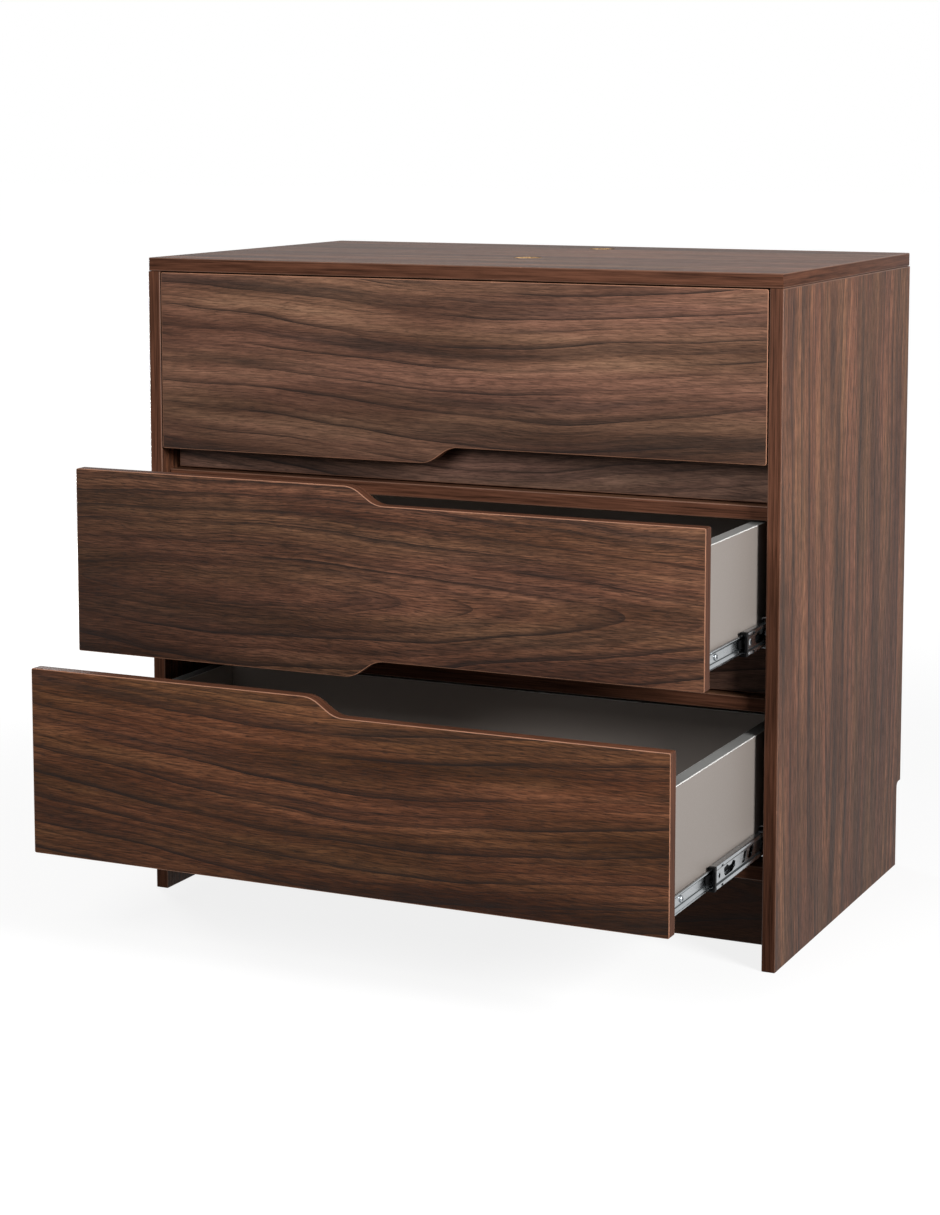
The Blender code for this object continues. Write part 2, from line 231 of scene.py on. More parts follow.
def extent(name, description, *default):
    return FloatVectorProperty(
        name=name, description=description, default=default, size=len(default), subtype="XYZ", unit="LENGTH",
        precision=4,
    )


def angle(name, description, degrees):
    return FloatProperty(
        name=name, description=description, default=math.radians(degrees), subtype="ANGLE", unit="ROTATION"
    )


def power(name, description, watts):
    return FloatProperty(name=name, description=description, default=watts, subtype="POWER", unit="POWER")


def share(name, description, default, low=0.0):
    return FloatProperty(
        name=name, description=description, default=default, min=low, max=1.0, subtype="FACTOR"
    )


def place(name, description, default):
    return FloatVectorProperty(
        name=name, description=description, default=default, subtype="TRANSLATION", unit="LENGTH"
    )


def linear(value):
    """One screen value from 0 to 255 as the linear value that shaders take."""
    value /= 255.0
    return value / 12.92 if value <= 0.04045 else ((value + 0.055) / 1.055) ** 2.4


def colour(name, description, *screen):
    default = tuple(linear(value) for value in screen)
    return FloatVectorProperty(
        name=name, description=description, default=default, subtype="COLOR", size=3, min=0.0, max=1.0
    )


def with_lights(group):
    """Gives a group of settings the place, side and power of each light."""
    for name, words, at, side, watts in LIGHTS:
        title = name.capitalize()
        group.__annotations__[f"{name}_place"] = place(f"{title} place", f"Place of the {words}", at)
        group.__annotations__[f"{name}_size"] = length(f"{title} size", f"Side of the {words}", side)
        group.__annotations__[f"{name}_power"] = power(f"{title} power", f"Power of the {words}", watts)
    return group


class ChestBoards(PropertyGroup):
    """Sizes of the boards that the frame's boxes do not give."""

    front_arris: length("Front arris", "Rounding of the drawer fronts' edges", 0.0008)
    carcass_arris: length("Carcass arris", "Rounding of the carcass boards' edges", 0.0011)
    box_arris: length("Box arris", "Rounding of the drawer boxes' edges", 0.0009)
    grip_step: length("Grip step", "Height of the S step in a front's edge", 0.020)
    grip_radius: length("Grip radius", "Radius of the two arcs of the S step", 0.034)
    grip_angle: angle("Grip angle", "Steepest angle of the S step", 35.0)
    grip_centre: length("Grip centre", "Middle of the S step from the chest's middle", -0.013)
    front_corner: length("Front corner", "Corner radius of a drawer front", 0.002)
    notch_depth: length("Notch depth", "Depth of the skirting notch in a side panel", 0.016)
    notch_height: length("Notch height", "Height of the skirting notch", 0.107)
    notch_radius: length("Notch radius", "Rounding inside the skirting notch", 0.006)
    hole_diameter: length("Hole diameter", "Diameter of the two holes in the top", 0.034)
    hole_side: length("Hole side", "Holes' distance to the right of the chest's middle", 0.015)
    hole_from_front: length("Hole from front", "Front hole's distance from the top's front edge", 0.190)
    hole_from_back: length("Hole from back", "Back hole's distance from the top's back edge", 0.069)
    groove_play: length("Groove play", "Room round a sheet in its groove", 0.0003)


class ChestFigure(PropertyGroup):
    """Real sizes of the walnut decor's figure."""

    heart: length("Heart", "Rounding of the arches at the heart", 0.016)
    arch: length("Arch", "Length over which an arch turns round", 0.140)
    sway: length("Sway", "How far the rings wander across the board", 0.015)
    sway_size: extent("Sway size", "Length and width of one slow bend", 0.38, 0.15)
    ripple: length("Ripple", "How far the small waves reach", 0.0030)
    ripple_size: extent("Ripple size", "Length and width of one small wave", 0.110, 0.030)
    streak_size: extent("Streak size", "Width, length and spread of a pale or dark streak", 0.014, 0.55, 0.30)
    ring_spacing: length("Ring spacing", "Distance between two fine late-wood lines", 0.0080)
    vein_spacing: length("Vein spacing", "Distance between two strong dark veins", 0.021)
    line_size: extent("Line size", "Length and width over which a line keeps its strength", 0.30, 0.20)
    drift_size: extent("Drift size", "Length and width over which lines keep their distance", 0.80, 0.25)
    fibre_size: extent("Fibre size", "Length and width of a fibre", 0.026, 0.0016)
    pore_size: extent("Pore size", "Length and width of a pore", 0.012, 0.0008)
    zone_size: extent("Zone size", "Length and width of a darker or redder zone", 0.35, 0.048)
    edge_streak_size: extent("Edge streak size", "Length and width of an edge band's streak", 0.070, 0.0020)
    edge_stripe_size: extent("Edge stripe size", "Length and width of an edge band's stripe", 0.25, 0.005)
    relief: length("Relief", "Depth of the pressed wood texture", 0.00008)


class ChestColours(PropertyGroup):
    """Colours of the finishes."""

    walnut_line: colour("Walnut line", "Late-wood lines and pores", 20, 14, 12)
    walnut_dark: colour("Walnut dark", "Dark streaks", 62, 43, 35)
    walnut_mid: colour("Walnut mid", "Ground colour of the decor", 97, 65, 49)
    walnut_light: colour("Walnut light", "Light streaks", 117, 82, 63)
    walnut_red: colour("Walnut red tint", "Tint of the redder zones", 255, 244, 238)
    walnut_olive: colour("Walnut olive tint", "Tint of the greener zones", 245, 246, 231)
    walnut_grey: colour("Walnut grey tint", "Tint of the darker zones", 172, 163, 154)
    walnut_band: colour("Walnut band", "Plastic edge bands of the walnut boards", 77, 48, 35)
    arris_bright: colour("Bright arris", "Rubbed edges of the drawer fronts", 143, 101, 78)
    arris_soft: colour("Soft arris", "Rubbed edges of the carcass", 100, 70, 55)
    chipboard: colour("Chipboard", "Raw board inside holes and grooves", 172, 138, 98)
    hardboard: colour("Hardboard", "Raw hardboard back", 104, 74, 54)
    grey_face: colour("Grey face", "Faces of the drawer boxes", 132, 124, 118)
    grey_band: colour("Grey band", "Edge bands of the drawer boxes", 120, 120, 118)
    # The near-white colour of the drawer boxes' rounded edges is a painted highlight; its unevenness is wear.
    grey_arris: colour("Grey arris", "Rubbed edges of the drawer boxes", 206, 205, 202)
    zinc: colour("Zinc", "Zinc-plated steel", 170, 174, 177)
    # The dark colour of the slides' bends beside the web is painted shade; the steel there is also rougher.
    painted_bend_shade: colour("Crease", "Dull steel in the slides' bends", 66, 71, 73)
    plastic: colour("Plastic", "Black plastic", 9, 9, 10)
    floor: colour("Floor", "Studio floor", 112, 112, 112)


class ChestHardware(PropertyGroup):
    """Sizes of slides and fasteners."""

    steel: length("Steel", "Thickness of the slides' sheet steel", 0.0011)
    bend: length("Bend", "Rounding of the slides' bends", 0.0012)
    # Half the width of the painted shade that darkens a bend beside the web.
    painted_bend_shade: length("Crease", "Half the width of the dull line in a bend beside the web", 0.0007)
    rivet_radius: length("Rivet radius", "Radius of a rivet's head", 0.0043)
    rivet_height: length("Rivet height", "How far a rivet stands proud", 0.0006)
    rivet_bore: length("Rivet bore", "Radius of the hole through a rivet", 0.0027)
    slide_screw: length("Slide screw", "Head radius of the slides' screws", 0.0038)
    slide_screw_height: length("Slide screw height", "Head height of the cabinet's screws", 0.0012)
    drawer_screw_height: length("Drawer screw height", "Head height of the drawer members' screws", 0.0022)
    box_screw: length("Box screw", "Head radius of the screws that hold the fronts", 0.0043)
    box_screw_height: length("Box screw height", "Head height of the screws that hold the fronts", 0.0022)
    plastic_arris: length("Plastic arris", "Rounding of plastic edges", 0.0004)
    block_arris: length("Block arris", "Rounding of the corner blocks", 0.0015)
    block_well: length("Block well", "Radius of the screw wells in a corner block", 0.00475)
    bumper_ear: length("Bumper ear", "Thickness of a bumper's ears", 0.0023)
    bumper_web: length("Bumper web", "Thickness of a bumper's web", 0.0026)
    bumper_notch: length("Bumper notch", "How far a bumper's web stands back behind its ears", 0.0015)


@with_lights
class ChestStudio(PropertyGroup):
    """Camera, floor and lights."""

    eye: place("Eye", "Place of the camera", (1.3068, -2.8533, 0.9429))
    azimuth: angle("Azimuth", "Camera's turn to the right of the chest", 24.969)
    elevation: angle("Elevation", "Camera's angle above the level", 6.653)
    lens: FloatProperty(
        name="Lens", description="Focal length", default=79.137, subtype="DISTANCE_CAMERA", unit="CAMERA"
    )
    shift_up: share("Shift", "Shift of the picture, a share of its height", -0.1461, low=-1.0)
    aim: place("Aim", "Point that the lights face", (0.0, -0.05, 0.40))
    surround: share("Surround", "Light from the white surroundings", 0.03)
    floor_glow: share("Floor glow", "Own brightness of the floor near the chest", 0.85)
    floor_size: length("Floor size", "Side of the floor", 60.0)
    fade_start: length("Fade start", "Distance at which the floor starts to turn white", 0.9)
    fade_end: length("Fade end", "Distance at which the floor is white", 2.6)


def colours():
    return bpy.context.scene.chest_colours


# Shader nodes

def rgba(tint):
    return (*tint, 1.0)


class NodeSketch:
    """Adds nodes to a tree and wires each one as it is made."""

    def __init__(self, tree):
        self.nodes = tree.nodes
        self.links = tree.links

    def feed(self, socket, value):
        """Wires a socket to another node's output, or sets it to a plain number or vector."""
        if isinstance(value, bpy.types.NodeSocket):
            self.links.new(value, socket)
        else:
            socket.default_value = value

    def node(self, kind, *values, **settings):
        made = self.nodes.new(kind)
        for name, value in settings.items():
            setattr(made, name, value)
        for socket, value in zip(made.inputs, values):
            self.feed(socket, value)
        return made

    def math(self, operation, *values):
        return self.node("ShaderNodeMath", *values, operation=operation).outputs[0]

    def vector(self, operation, *values):
        return self.node("ShaderNodeVectorMath", *values, operation=operation)

    def point(self, x, y, z):
        return self.node("ShaderNodeCombineXYZ", x, y, z).outputs[0]

    def parts(self, point):
        return self.node("ShaderNodeSeparateXYZ", point).outputs

    def noise(self, point, size, seed=0.0, detail=2.0, roughness=0.5):
        """Noise from 0 to 1 whose features have the given size in metres along each axis that it names."""
        stretch = [1.0] * 3
        stretch[:len(size)] = [1.0 / value for value in size]
        placed = self.vector("MULTIPLY_ADD", point, stretch, (0.0, 0.0, seed)).outputs[0]
        made = self.node("ShaderNodeTexNoise", placed)
        made.inputs["Scale"].default_value = 1.0
        made.inputs["Detail"].default_value = detail
        made.inputs["Roughness"].default_value = roughness
        return made.outputs[0]

    def swing(self, noise, reach):
        """Noise from 0 to 1 as a swing of that reach to either side of nothing."""
        return self.math("MULTIPLY_ADD", noise, 2.0 * reach, -reach)

    def remap(self, value, levels, results, interpolation="LINEAR"):
        """Turns the range between two levels into the range between two results."""
        made = self.node("ShaderNodeMapRange", value, *levels, *results)
        made.interpolation_type = interpolation
        return made.outputs[0]

    def step(self, value, levels):
        return self.remap(value, levels, (0.0, 1.0), "SMOOTHSTEP")

    def ramp(self, value, levels, tints):
        """Blends from tint to tint, each at its level."""
        made = self.node("ShaderNodeValToRGB", value)
        elements = made.color_ramp.elements
        while len(elements) < len(levels):
            elements.new(1.0)
        for element, level, tint in zip(elements, levels, tints):
            element.position = level
            element.color = rgba(tint)
        return made.outputs[0]

    def mix(self, amount, first, second, blend="MIX"):
        made = self.node("ShaderNodeMix", data_type="RGBA", blend_type=blend)
        for index, value in zip(MIX_INPUTS, (amount, first, second)):
            self.feed(made.inputs[index], value)
        return made.outputs[MIX_OUTPUT]

    def tinted(self, base, tint):
        """One colour times another."""
        return self.mix(1.0, base, tint, "MULTIPLY")

    def toned(self, base, tone):
        """A colour made lighter or darker by a pattern."""
        return self.tinted(base, self.point(tone, tone, tone))

    def saturate(self, tint, strength):
        same_hue = 0.5
        return self.node("ShaderNodeHueSaturation", same_hue, strength, 1.0, 1.0, tint).outputs[0]

    def seen(self):
        """One for a ray from the camera, a reflection or a clear piece, and nothing for other light."""
        path = self.node("ShaderNodeLightPath").outputs
        eye_or_gloss = self.math("MAXIMUM", path["Is Camera Ray"], path["Is Glossy Ray"])
        return self.math("MAXIMUM", eye_or_gloss, path["Is Transmission Ray"])


class Finish(NodeSketch):
    """A material with its main shader and the coordinates that its pattern follows."""

    def __init__(self, name, roughness, metallic=0.0, specular=0.5):
        self.material = bpy.data.materials.new(name)
        self.material.use_nodes = True
        super().__init__(self.material.node_tree)
        self.shader = self.nodes["Principled BSDF"]
        self.set("Roughness", roughness)
        self.set("Metallic", metallic)
        self.set("Specular IOR Level", specular)

    def set(self, name, value):
        self.feed(self.shader.inputs[name], value)

    def paint(self, tint, tone):
        """Colours the finish with a tint that a pattern makes lighter or darker."""
        self.set("Base Color", self.toned(rgba(tint), tone))

    def grain(self):
        """Metres along the grain and across it, from the board's heart."""
        return self.node("ShaderNodeUVMap", uv_map=GRAIN).outputs[0]

    def body(self):
        """Metres in the piece's own axes."""
        return self.node("ShaderNodeTexCoord").outputs["Object"]

    def grainy(self, fine, reach, slow, tones):
        """The tone of a fine grain that swings round a slow change between two tones."""
        return self.math("ADD", self.swing(fine, reach), self.remap(slow, MOST_LEVELS, tones))

    def emboss(self, height, distance):
        bump = self.node("ShaderNodeBump")
        bump.inputs["Distance"].default_value = distance
        self.feed(bump.inputs["Height"], height)
        self.set("Normal", bump.outputs[0])


class WalnutFinish(Finish):
    """Walnut decor: rings round a heart, cut flat, with veins, fine late-wood lines, fibres and pores."""

    def __init__(self, name, figure):
        super().__init__(name, roughness=0.50, specular=0.10)
        self.figure = figure
        sizes = bpy.context.scene.chest_figure
        self.sizes = sizes
        self.flat = self.grain()
        self.find_rings()
        fibres_at = self.point(self.along, self.bent, 0.0)
        fibre = self.own_noise(fibres_at, sizes.fibre_size, FIBRE_NOISE, detail=3.0, roughness=0.65)
        pore = self.step(self.own_noise(fibres_at, sizes.pore_size, PORE_NOISE, detail=1.0), PORE_LEVELS)
        rings = self.dark_lines(sizes.ring_spacing, RING_SHARPNESS, RING_NOISE)
        veins = self.dark_lines(sizes.vein_spacing, VEIN_SHARPNESS / figure.contrast, VEIN_NOISE)
        base = self.lined(self.ground(), rings, RING_STRENGTH * figure.contrast)
        base = self.toned(base, self.tone_and_painted_light(fibre))
        base = self.lined(base, pore, PORE_STRENGTH * figure.contrast)
        base = self.lined(base, veins, VEIN_STRENGTH)
        self.set("Base Color", self.saturate(base, figure.strength))
        self.set("Roughness", self.remap(fibre, MOST_LEVELS, FIBRE_ROUGHNESS))
        self.emboss(self.math("SUBTRACT", fibre, pore), sizes.relief)

    def own_noise(self, point, size, number, **looks):
        """A noise that no other board and no other pattern of this board shares."""
        return self.noise(point, size, self.figure.seed + number, **looks)

    def find_rings(self):
        """Finds the ring that each point lies on, and keeps the heart itself free of lines."""
        sizes = self.sizes
        taper = self.figure.taper
        self.along, across, _ = self.parts(self.flat)
        sway = self.own_noise(self.flat, sizes.sway_size, SWAY_NOISE)
        ripple = self.own_noise(self.flat, sizes.ripple_size, RIPPLE_NOISE)
        swayed = self.math("ADD", across, self.swing(sway, sizes.sway))
        self.bent = self.math("ADD", swayed, self.swing(ripple, sizes.ripple))
        reach = self.vector("LENGTH", self.point(self.along, sizes.arch, 0.0)).outputs["Value"]
        away = self.vector("LENGTH", self.point(self.bent, sizes.heart, 0.0)).outputs["Value"]
        arched = self.math("MULTIPLY_ADD", reach, taper, away)
        heart_ring = sizes.heart + taper * sizes.arch
        self.off_heart = self.step(arched, (heart_ring, heart_ring + sizes.vein_spacing))
        self.ring = self.math("MULTIPLY_ADD", self.bent, RING_LEAN, arched)
        self.rings = self.point(self.ring, self.along, self.bent)

    def dark_lines(self, spacing, sharpness, number):
        """Thin lines that follow the rings, strong in some places and gone in others."""
        sizes = self.sizes
        drift_size = (DRIFT_SPACINGS * spacing, *sizes.drift_size)
        drift = self.swing(self.own_noise(self.rings, drift_size, number), LINE_DRIFT)
        turns = self.math("MULTIPLY_ADD", self.ring, 1.0 / spacing, drift)
        line = self.math("POWER", self.math("FRACT", turns), sharpness)
        line_size = (spacing, *sizes.line_size)
        strength = self.step(self.own_noise(self.rings, line_size, number + 1.0), LINE_LEVELS)
        return self.math("MULTIPLY", self.math("MULTIPLY", line, self.off_heart), strength)

    def ground(self):
        """The ground colour: streaks along the rings, darker zones and two hues."""
        sizes = self.sizes
        tints = colours()
        streaks = self.own_noise(self.rings, sizes.streak_size, STREAK_NOISE, detail=6.0, roughness=0.68)
        base = self.ramp(streaks, STREAK_LEVELS, (tints.walnut_dark, tints.walnut_mid, tints.walnut_light))
        zones = self.own_noise(self.flat, sizes.zone_size, ZONE_NOISE, detail=3.0)
        base = self.tinted(base, self.ramp(zones, ZONE_LEVELS, (tints.walnut_grey, WHITE)))
        hues = self.own_noise(self.flat, sizes.zone_size, HUE_NOISE, detail=3.0)
        return self.tinted(base, self.ramp(hues, HUE_LEVELS, (tints.walnut_olive, tints.walnut_red)))

    def tone_and_painted_light(self, fibre):
        """Light and dark fibres, times the board's tone and its drift over the board; on some boards these
        carry painted light and shade.
        """
        figure = self.figure
        reach = FIBRE_STRENGTH * figure.contrast
        fibres = self.remap(fibre, FIBRE_LEVELS, (1.0 - reach, 1.0 + reach))
        drift = self.vector("DOT_PRODUCT", self.flat, (*figure.drift, 0.0)).outputs["Value"]
        middle_tone = figure.tone * (1.0 + Vector(figure.heart).dot(figure.drift))
        return self.math("MULTIPLY", fibres, self.math("MULTIPLY_ADD", drift, figure.tone, middle_tone))

    def lined(self, base, lines, strength):
        """A colour with dark lines laid over it."""
        return self.mix(self.math("MULTIPLY", lines, strength), base, rgba(colours().walnut_line))


def band_finish(name, tint):
    """The printed plastic band on a walnut board's edges: fine straight streaks."""
    streak_reach = 1.50
    stripe_tones = (0.66, 1.34)
    sizes = bpy.context.scene.chest_figure
    band = Finish(name, roughness=0.50, specular=0.03)
    grain = band.grain()
    streak = band.noise(grain, sizes.edge_streak_size, detail=4.0, roughness=0.65)
    stripe = band.noise(grain, sizes.edge_stripe_size, seed=5.0, detail=3.0)
    band.paint(tint, band.grainy(streak, streak_reach, stripe, stripe_tones))
    band.emboss(streak, sizes.relief)
    return band


def arris_finish(name, tint):
    """The rubbed plastic edge of a board, a little uneven along its length."""
    wear_size = 0.030
    wear_tones = (0.76, 1.14)
    chip_size = 0.012
    chip_levels = (0.66, 0.72)
    chip_gain = 0.45
    edge = Finish(name, roughness=0.45, specular=0.20)
    at = edge.body()
    wear = edge.noise(at, (wear_size,) * 3, detail=3.0)
    chip = edge.step(edge.noise(at, (chip_size,) * 3, seed=9.0), chip_levels)
    worn = edge.remap(wear, MOST_LEVELS, wear_tones)
    edge.paint(tint, edge.math("MULTIPLY_ADD", chip, chip_gain, worn))
    return edge


def speckled_finish(name, tint, pebble_size, depth, roughness, specular, relief):
    """A plain finish with a fine pebble and a slow mottle: coated board, plastic."""
    mottle_size = 0.12
    roughness_reach = 0.06
    coat = Finish(name, roughness, specular=specular)
    at = coat.body()
    pebble = coat.noise(at, (pebble_size,) * 3)
    mottle = coat.noise(at, (mottle_size,) * 3, seed=5.0, detail=3.0)
    both = coat.math("ADD", coat.swing(pebble, depth), coat.swing(mottle, depth))
    coat.paint(tint, coat.math("ADD", both, 1.0))
    dull_to_rough = (roughness - roughness_reach, roughness + roughness_reach)
    coat.set("Roughness", coat.remap(pebble, MOST_LEVELS, dull_to_rough))
    coat.emboss(pebble, relief)
    return coat


def chipboard_finish(name, tint):
    """Raw chipboard: flakes of many tones, rough to the touch."""
    flakes_per_metre = 420.0
    flake_tones = (0.45, 1.2)
    relief = 0.0004
    raw = Finish(name, roughness=0.85, specular=0.2)
    flakes = raw.node("ShaderNodeTexVoronoi", raw.body())
    flakes.inputs["Scale"].default_value = flakes_per_metre
    raw.paint(tint, raw.remap(raw.parts(flakes.outputs["Color"])[0], (0.0, 1.0), flake_tones))
    raw.emboss(flakes.outputs["Distance"], relief)
    return raw


def hardboard_finish(name, tint):
    """Hardboard: felted fibres, with the fine screen mark of its rough side."""
    felt_size = 0.004
    felt_reach = 0.60
    cloud_size = 0.15
    cloud_tones = (0.82, 1.18)
    screen_pitch = 0.0014
    relief = 0.0001
    sheet = Finish(name, roughness=0.75, specular=0.25)
    at = sheet.body()
    felt = sheet.noise(at, (felt_size,) * 3, detail=5.0, roughness=0.7)
    cloud = sheet.noise(at, (cloud_size,) * 3, seed=3.0, detail=3.0)
    sheet.paint(tint, sheet.grainy(felt, felt_reach, cloud, cloud_tones))
    x, _, z = sheet.parts(at)
    weft, warp = (sheet.math("SINE", sheet.math("MULTIPLY", run, FULL_TURN / screen_pitch)) for run in (x, z))
    sheet.emboss(sheet.math("MULTIPLY_ADD", weft, warp, felt), relief)
    return sheet


def zinc_finish(name, tint, roughness):
    """Zinc-plated steel: drawn lines along the slide and a faint cloudiness."""
    drawn_size = (0.0012, 0.20, 0.0012)
    drawn_reach = 0.10
    cloud_size = (0.012, 0.030, 0.012)
    cloud_tones = (0.84, 1.06)
    cloud_roughness = (roughness - 0.05, roughness + 0.08)
    relief = 0.00003
    zinc = Finish(name, roughness, metallic=1.0)
    at = zinc.body()
    drawn = zinc.noise(at, drawn_size, detail=3.0)
    cloud = zinc.noise(at, cloud_size, seed=7.0, detail=3.0)
    zinc.paint(tint, zinc.grainy(drawn, drawn_reach, cloud, cloud_tones))
    zinc.set("Roughness", zinc.remap(cloud, MOST_LEVELS, cloud_roughness))
    zinc.emboss(drawn, relief)
    return zinc


def finish(name, make, *details, **settings):
    """A material by name, made the first time that a piece asks for it."""
    return bpy.data.materials.get(name) or make(name, *details, **settings).material


def chipboard():
    return finish("raw_chipboard", chipboard_finish, colours().chipboard)


def walnut_board(node, edge):
    """The finishes of a walnut board, in the order of FACE, BAND, ARRIS and RAW."""
    return (
        finish(f"walnut_{node}", WalnutFinish, FIGURES[node]),
        finish("walnut_edge_band", band_finish, colours().walnut_band),
        finish(f"walnut_{edge}", arris_finish, getattr(colours(), edge)),
        chipboard(),
    )


def grey_board():
    """The finishes of a drawer box's board, in the same order."""
    coat = {"pebble_size": 0.0011, "depth": 0.03, "roughness": 0.50, "specular": 0.35, "relief": 0.00005}
    return (
        finish("grey_melamine", speckled_finish, colours().grey_face, **coat),
        finish("grey_edge_band", speckled_finish, colours().grey_band, **coat),
        # The drawer boxes' rounded edges: near-white as a painted highlight, uneven with wear.
        finish("grey_arris", arris_finish, colours().grey_arris),
        chipboard(),
    )


def black_plastic():
    coat = {"pebble_size": 0.0008, "depth": 0.10, "roughness": 0.50, "specular": 0.07, "relief": 0.00004}
    return finish("black_plastic_moulding", speckled_finish, colours().plastic, **coat)


def zinc_steel():
    return finish("zinc_steel_sheet", zinc_finish, colours().zinc, roughness=0.22)


# Rougher steel darkened with painted shade, for the bends beside the slides' webs.
def painted_bend_shade_steel():
    return finish("zinc_steel_crease", zinc_finish, colours().painted_bend_shade, roughness=0.45)


def screw_steel():
    return finish("zinc_steel_screw", zinc_finish, colours().zinc, roughness=0.30)


# Shapes

def arc(centre, radius, start, end, steps):
    """Points along an arc, both ends included; angles in radians from the first axis."""
    turn = (end - start) / steps
    angles = [start + turn * step for step in range(steps + 1)]
    return [(centre[0] + radius * math.cos(a), centre[1] + radius * math.sin(a)) for a in angles]


def circle(centre, radius, sides):
    return arc(centre, radius, 0.0, FULL_TURN, sides)[:-1]


def board_shape(low, high):
    shape = bmesh.new()
    bmesh.ops.create_cube(shape, size=1.0, matrix=Matrix.LocRotScale((low + high) / 2, None, high - low))
    return shape


def prism_shape(outline, axis, start, end):
    """A closed prism along an axis, from an outline in the other two axes."""
    shape = bmesh.new()
    corners = []
    for point in outline:
        corner = list(point)
        corner.insert(axis, start)
        corners.append(shape.verts.new(corner))
    swept = bmesh.ops.extrude_face_region(shape, geom=[shape.faces.new(corners)])
    moved = [element for element in swept["geom"] if isinstance(element, bmesh.types.BMVert)]
    along = Vector((0.0, 0.0, 0.0))
    along[axis] = end - start
    bmesh.ops.translate(shape, vec=along, verts=moved)
    bmesh.ops.recalc_face_normals(shape, faces=shape.faces)
    return shape


def turned_shape(profile):
    """A closed turned piece round +X from (height, radius) points, seat first and crown last."""
    shape = bmesh.new()
    points = [shape.verts.new((height, radius, 0.0)) for height, radius in profile]
    edges = [shape.edges.new(pair) for pair in zip(points, points[1:])]
    bmesh.ops.spin(
        shape,
        geom=points + edges,
        axis=(1.0, 0.0, 0.0),
        angle=FULL_TURN,
        steps=SCREW_SIDES,
        use_merge=True,
    )
    bmesh.ops.remove_doubles(shape, verts=shape.verts, dist=WELD)
    bmesh.ops.recalc_face_normals(shape, faces=shape.faces)
    return shape


def soften(shape, radius):
    """Rounds every edge that turns sharply."""
    bmesh.ops.bevel(
        shape,
        geom=[edge for edge in shape.edges if edge.calc_face_angle(0.0) > SHARP_TURN],
        offset=radius,
        segments=ARRIS_STEPS,
        profile=ROUND_PROFILE,
        affect="EDGES",
        clamp_overlap=True,
    )
    return shape


def rounded_line(points, bend):
    """An open line in the plane with each inner corner eased by a curve."""
    points = [Vector(point) for point in points]
    line = [points[0]]
    for before, corner, after in zip(points, points[1:], points[2:]):
        reach = min(bend, (before - corner).length / 2, (after - corner).length / 2)
        start = corner + (before - corner).normalized() * reach
        end = corner + (after - corner).normalized() * reach
        for step in range(BEND_STEPS + 1):
            gone = step / BEND_STEPS
            line.append(start.lerp(corner, gone).lerp(corner.lerp(end, gone), gone))
    return line + [points[-1]]


def sheet_outline(points, thickness, bend):
    """The closed section of a bent sheet whose middle follows the line and then its mirror image below."""
    both = list(points) + [(across, -up) for across, up in reversed(points)]
    line = rounded_line([Vector(point) * MILLIMETRE for point in both], bend)
    outer = []
    inner = []
    for index, point in enumerate(line):
        run = (line[min(index + 1, len(line) - 1)] - line[max(index - 1, 0)]).normalized()
        normal = Vector((-run.y, run.x)) * thickness / 2
        outer.append(point + normal)
        inner.append(point - normal)
    return outer + list(reversed(inner))


def add_item(name, shape, materials):
    """Turns a bmesh into an object of the scene."""
    mesh = bpy.data.meshes.new(name)
    shape.to_mesh(mesh)
    shape.free()
    for material in materials:
        mesh.materials.append(material)
    item = bpy.data.objects.new(name, mesh)
    bpy.context.scene.collection.objects.link(item)
    return item


def carve(item, cutters, cut_finish):
    """Cuts shapes out of an object for good; the cut faces take one of the object's finishes."""
    made = []
    for cutter in cutters:
        for face in cutter.faces:
            face.material_index = cut_finish
        tool = add_item(f"{item.name}_cutter", cutter, item.data.materials)
        cut = item.modifiers.new(tool.name, "BOOLEAN")
        cut.operation = "DIFFERENCE"
        cut.solver = "EXACT"
        cut.object = tool
        made.append(tool)
    evaluated = item.evaluated_get(bpy.context.evaluated_depsgraph_get())
    plain = item.data
    item.data = bpy.data.meshes.new_from_object(evaluated)
    item.modifiers.clear()
    bpy.data.meshes.remove(plain)
    for tool in made:
        bpy.data.objects.remove(tool, do_unlink=True)
    item.data.name = item.name
    return item


def shade(item):
    """Smooths an object, with sharp edges between finishes and at tight turns."""
    shape = bmesh.new()
    shape.from_mesh(item.data)
    shade_shape(shape)
    shape.to_mesh(item.data)
    shape.free()
    return item


def shade_shape(shape):
    for face in shape.faces:
        face.smooth = True
    for edge in shape.edges:
        kinds = {face.material_index for face in edge.link_faces}
        edge.smooth = len(kinds) == 1 and edge.calc_face_angle(0.0) < SMOOTH_TURN


def board_finish(lean):
    """The finish of a board's face that leans so far towards the board's thickness."""
    if lean > LAMINATE_LEAN:
        return FACE
    return BAND if lean < BAND_LEAN else ARRIS


def lay_grain(item, figure):
    """Sorts a board's faces into laminate, band and arris, and lays the grain on each of them."""
    shape = bmesh.new()
    shape.from_mesh(item.data)
    corners = [[point.co[axis] for point in shape.verts] for axis in (X, Y, Z)]
    low = Vector([min(values) for values in corners])
    high = Vector([max(values) for values in corners])
    middle = (low + high) / 2
    thin, across, along = sorted((X, Y, Z), key=lambda axis: (high - low)[axis])
    grain = shape.loops.layers.uv.new(GRAIN)
    for face in shape.faces:
        if face.material_index != RAW:
            face.material_index = board_finish(abs(face.normal[thin]))
        run, turn, heart = along, across, Vector(figure.heart)
        if face.material_index != FACE:
            ends = abs(face.normal[along]) > abs(face.normal[across])
            run, turn, heart = (across if ends else along), thin, Vector((figure.seed, 0.0))
        for loop in face.loops:
            at = loop.vert.co - middle
            loop[grain].uv = Vector((at[run], at[turn])) - heart
    shade_shape(shape)
    shape.to_mesh(item.data)
    shape.free()
    return item


def stand_for(item, node):
    """Puts a finished piece in the place of its node, on the same body."""
    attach(item, frame["nodes"][node]["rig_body"])
    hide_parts(node)


